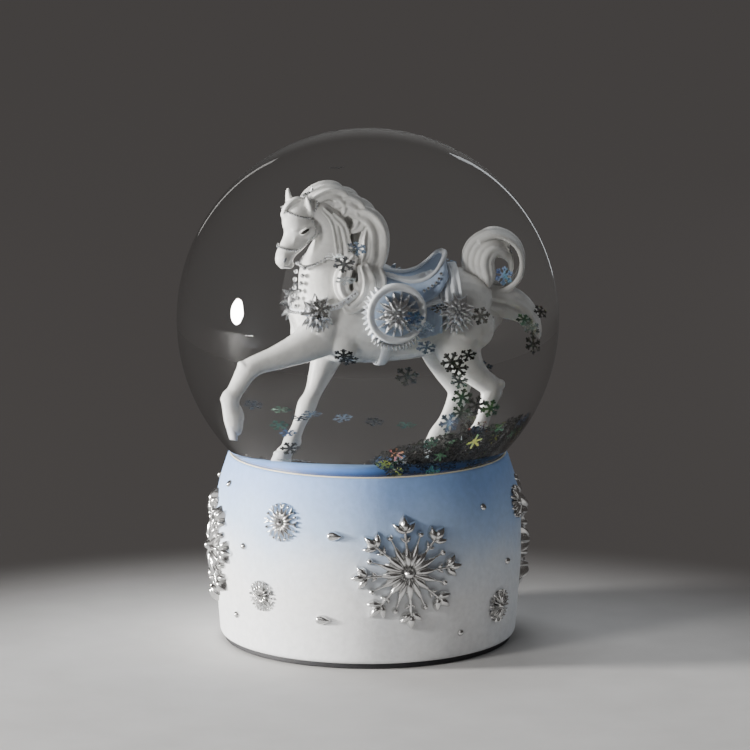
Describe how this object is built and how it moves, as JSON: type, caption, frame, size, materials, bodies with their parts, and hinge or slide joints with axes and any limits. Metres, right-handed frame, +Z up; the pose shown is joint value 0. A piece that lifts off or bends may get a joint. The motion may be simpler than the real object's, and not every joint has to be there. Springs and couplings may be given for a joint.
{
  "type": "snow globe",
  "caption": "Water-filled glass snow globe with a prancing horse, on a round relief base holding a wind-up musical movement.",
  "frame": {"origin": "centre of the foot ring, on the surface the globe stands on", "axes": "+Z up through the globe, -Y towards the viewer, so the horse faces -X"},
  "size_m": [0.0998, 0.0998, 0.1345],
  "materials": {
    "glass_globe": "clear polished",
    "liquid_fill": "clear liquid",
    "rubber_stopper": "matt",
    "platform_paint": "painted resin",
    "horse_paint": "painted resin, satin",
    "saddle_paint": "painted resin, satin",
    "silver_trim": "silver paint",
    "flake_foil": "holographic foil",
    "adhesive": "clear adhesive",
    "base_resin": "painted resin, ice blue at the top fading to white",
    "foot_rubber": "matt",
    "black_plastic": "moulded",
    "steel": "plated",
    "silver_relief": "silver paint on moulded resin",
    "zinc": "die cast",
    "brass": "machined",
    "nylon": "moulded"
  },
  "bodies": {
    "globe": {"glass_globe": "glass_globe", "liquid_fill": "liquid_fill", "rubber_stopper": "rubber_stopper", "figurine_platform": "platform_paint", "horse_figurine": "horse_paint", "saddle_and_blanket": "saddle_paint", "side_medallion_near": "silver_trim", "side_medallion_far": "silver_trim", "chest_rosette_near": "silver_trim", "chest_rosette_far": "silver_trim", "hip_rosette_near": "silver_trim", "hip_rosette_far": "silver_trim", "settled_flakes": "flake_foil", "rim_adhesive": "adhesive", "base_shell": "base_resin", "foot_ring": "foot_rubber", "base_plate": "black_plastic", "plate_screw_1": "steel", "plate_screw_2": "steel", "plate_screw_3": "steel", "movement_screw_1": "steel", "movement_screw_2": "steel", "comb_screw_1": "steel", "comb_screw_2": "steel", "spring_barrel": "steel", "mainspring": "steel", "cylinder_bracket_inner": "steel", "cylinder_bracket_outer": "steel", "music_comb": "steel", "governor_frame": "steel", "relief_snowflake_1": "silver_relief", "relief_snowflake_2": "silver_relief", "relief_snowflake_3": "silver_relief", "relief_snowflake_4": "silver_relief", "relief_medallion_1": "silver_relief", "relief_medallion_2": "silver_relief", "relief_medallion_3": "silver_relief", "relief_medallion_4": "silver_relief", "relief_medallion_5": "silver_relief", "relief_medallion_6": "silver_relief", "relief_medallion_7": "silver_relief", "relief_medallion_8": "silver_relief", "relief_teardrop_1": "silver_relief", "relief_teardrop_2": "silver_relief", "relief_teardrop_3": "silver_relief", "relief_teardrop_4": "silver_relief", "movement_bedplate": "zinc"},
    "key": {"winding_key": "steel", "winding_arbor": "steel", "great_wheel": "brass"},
    "cylinder": {"music_cylinder": "brass"},
    "governor_wheel": {"governor_wheel": "nylon"},
    "governor_fan": {"governor_fan": "nylon"}
  },
  "joints": [
    {"name": "key_turn", "type": "hinge", "parent": "globe", "child": "key", "pos_m": [-0.014, 0, 0.012], "axis": [0, 0, 1], "range_deg": [0, 1620]},
    {"name": "cylinder_spin", "type": "hinge", "parent": "globe", "child": "cylinder", "pos_m": [-0.001, 0, 0.02102], "axis": [1, 0, 0], "range_deg": [-4050, 0]},
    {"name": "governor_wheel_spin", "type": "hinge", "parent": "globe", "child": "governor_wheel", "pos_m": [0.0165, 0.00655, 0.02102], "axis": [1, 0, 0], "range_deg": [0, 9112.5]},
    {"name": "governor_fan_spin", "type": "hinge", "parent": "globe", "child": "governor_fan", "pos_m": [0.0205, 0.0122, 0.02], "axis": [0, 0, 1], "range_deg": [-182250, 0]}
  ],
  "couplings": [
    {"joint": "cylinder_spin", "follows": "key_turn", "ratio": -2.5},
    {"joint": "governor_wheel_spin", "follows": "key_turn", "ratio": 5.625},
    {"joint": "governor_fan_spin", "follows": "key_turn", "ratio": -112.5}
  ]
}
